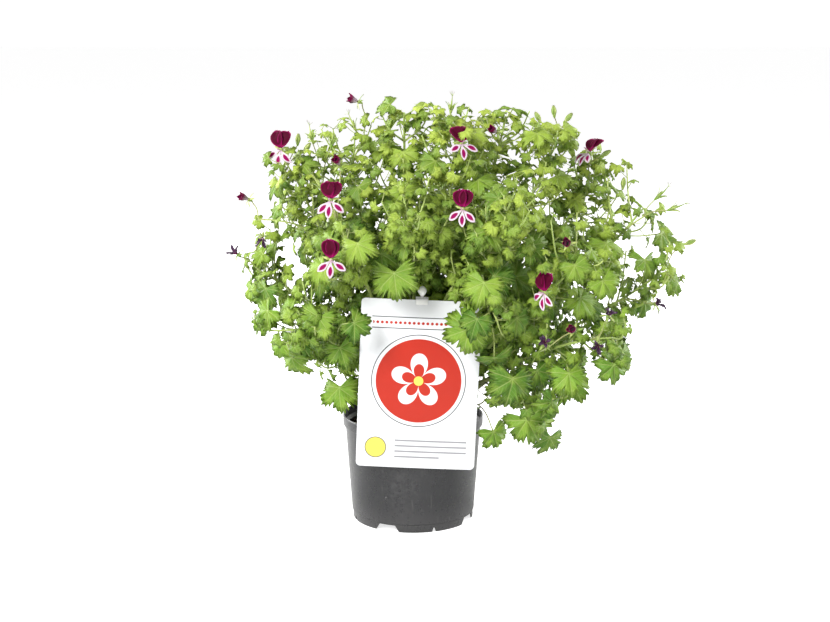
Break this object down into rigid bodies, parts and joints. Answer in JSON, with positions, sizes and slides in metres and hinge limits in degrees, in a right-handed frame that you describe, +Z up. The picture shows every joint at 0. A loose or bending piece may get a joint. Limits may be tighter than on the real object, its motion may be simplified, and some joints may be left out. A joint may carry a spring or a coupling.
{
  "type": "potted lemon-scented geranium",
  "caption": "Bushy lemon-scented geranium with lobed green leaves and small burgundy and white flowers, in a dark plastic nursery pot with a plain printed plant card.",
  "frame": {"origin": "on the ground under the middle of the plant's bounding box; the pot's axis is about 44 mm to the left of it and 10 mm in front", "axes": "+X to the right as the card is seen, -Y towards the viewer of the card, +Z up"},
  "size_m": [0.4269, 0.2831, 0.3945],
  "materials": {
    "pot_plastic": "satin",
    "potting_soil": "rough and moist",
    "card_print": "printed, slightly glossy",
    "stick_plastic": "satin",
    "foliage": "soft, finely hairy",
    "dark_petal": "velvety",
    "light_petal": "soft",
    "faded_petal": "dry and wrinkled"
  },
  "bodies": {
    "root": {"pot": "pot_plastic", "soil": "potting_soil", "plant_card": "card_print", "card_stick": "stick_plastic", "shoot_left_low_front": "foliage", "shoot_left_low": "foliage", "faded_bloom_01": "faded_petal", "faded_bloom_02": "faded_petal", "shoot_left_high": "foliage", "bloom_01_upper_petals": "dark_petal", "bloom_01_lower_petals": "light_petal", "half_bloom_01": "dark_petal", "shoot_left_back": "foliage", "shoot_top_left": "foliage", "half_bloom_02": "dark_petal", "shoot_front_left": "foliage", "bloom_02_upper_petals": "dark_petal", "bloom_02_lower_petals": "light_petal", "half_bloom_03": "dark_petal", "bloom_03_upper_petals": "dark_petal", "bloom_03_lower_petals": "light_petal", "shoot_top_mid_left": "foliage", "shoot_front_mid": "foliage", "shoot_top_mid": "foliage", "bloom_04_upper_petals": "dark_petal", "bloom_04_lower_petals": "light_petal", "shoot_top_right_mid": "foliage", "half_bloom_04": "dark_petal", "shoot_top_right": "foliage", "shoot_right_high": "foliage", "bloom_05_upper_petals": "dark_petal", "bloom_05_lower_petals": "light_petal", "shoot_right_out": "foliage", "shoot_right": "foliage", "faded_bloom_03": "faded_petal", "shoot_front_right_high": "foliage", "bloom_06_upper_petals": "dark_petal", "bloom_06_lower_petals": "light_petal", "shoot_front_right": "foliage", "half_bloom_05": "dark_petal", "bloom_07_upper_petals": "dark_petal", "bloom_07_lower_petals": "light_petal", "shoot_right_low_front": "foliage", "faded_bloom_04": "faded_petal", "half_bloom_06": "dark_petal", "faded_bloom_05": "faded_petal", "faded_bloom_06": "faded_petal", "shoot_right_low": "foliage", "shoot_front_right_low": "foliage", "shoot_back_right": "foliage", "shoot_back": "foliage", "shoot_back_left": "foliage", "shoot_back_low": "foliage"}
  },
  "joints": []
}
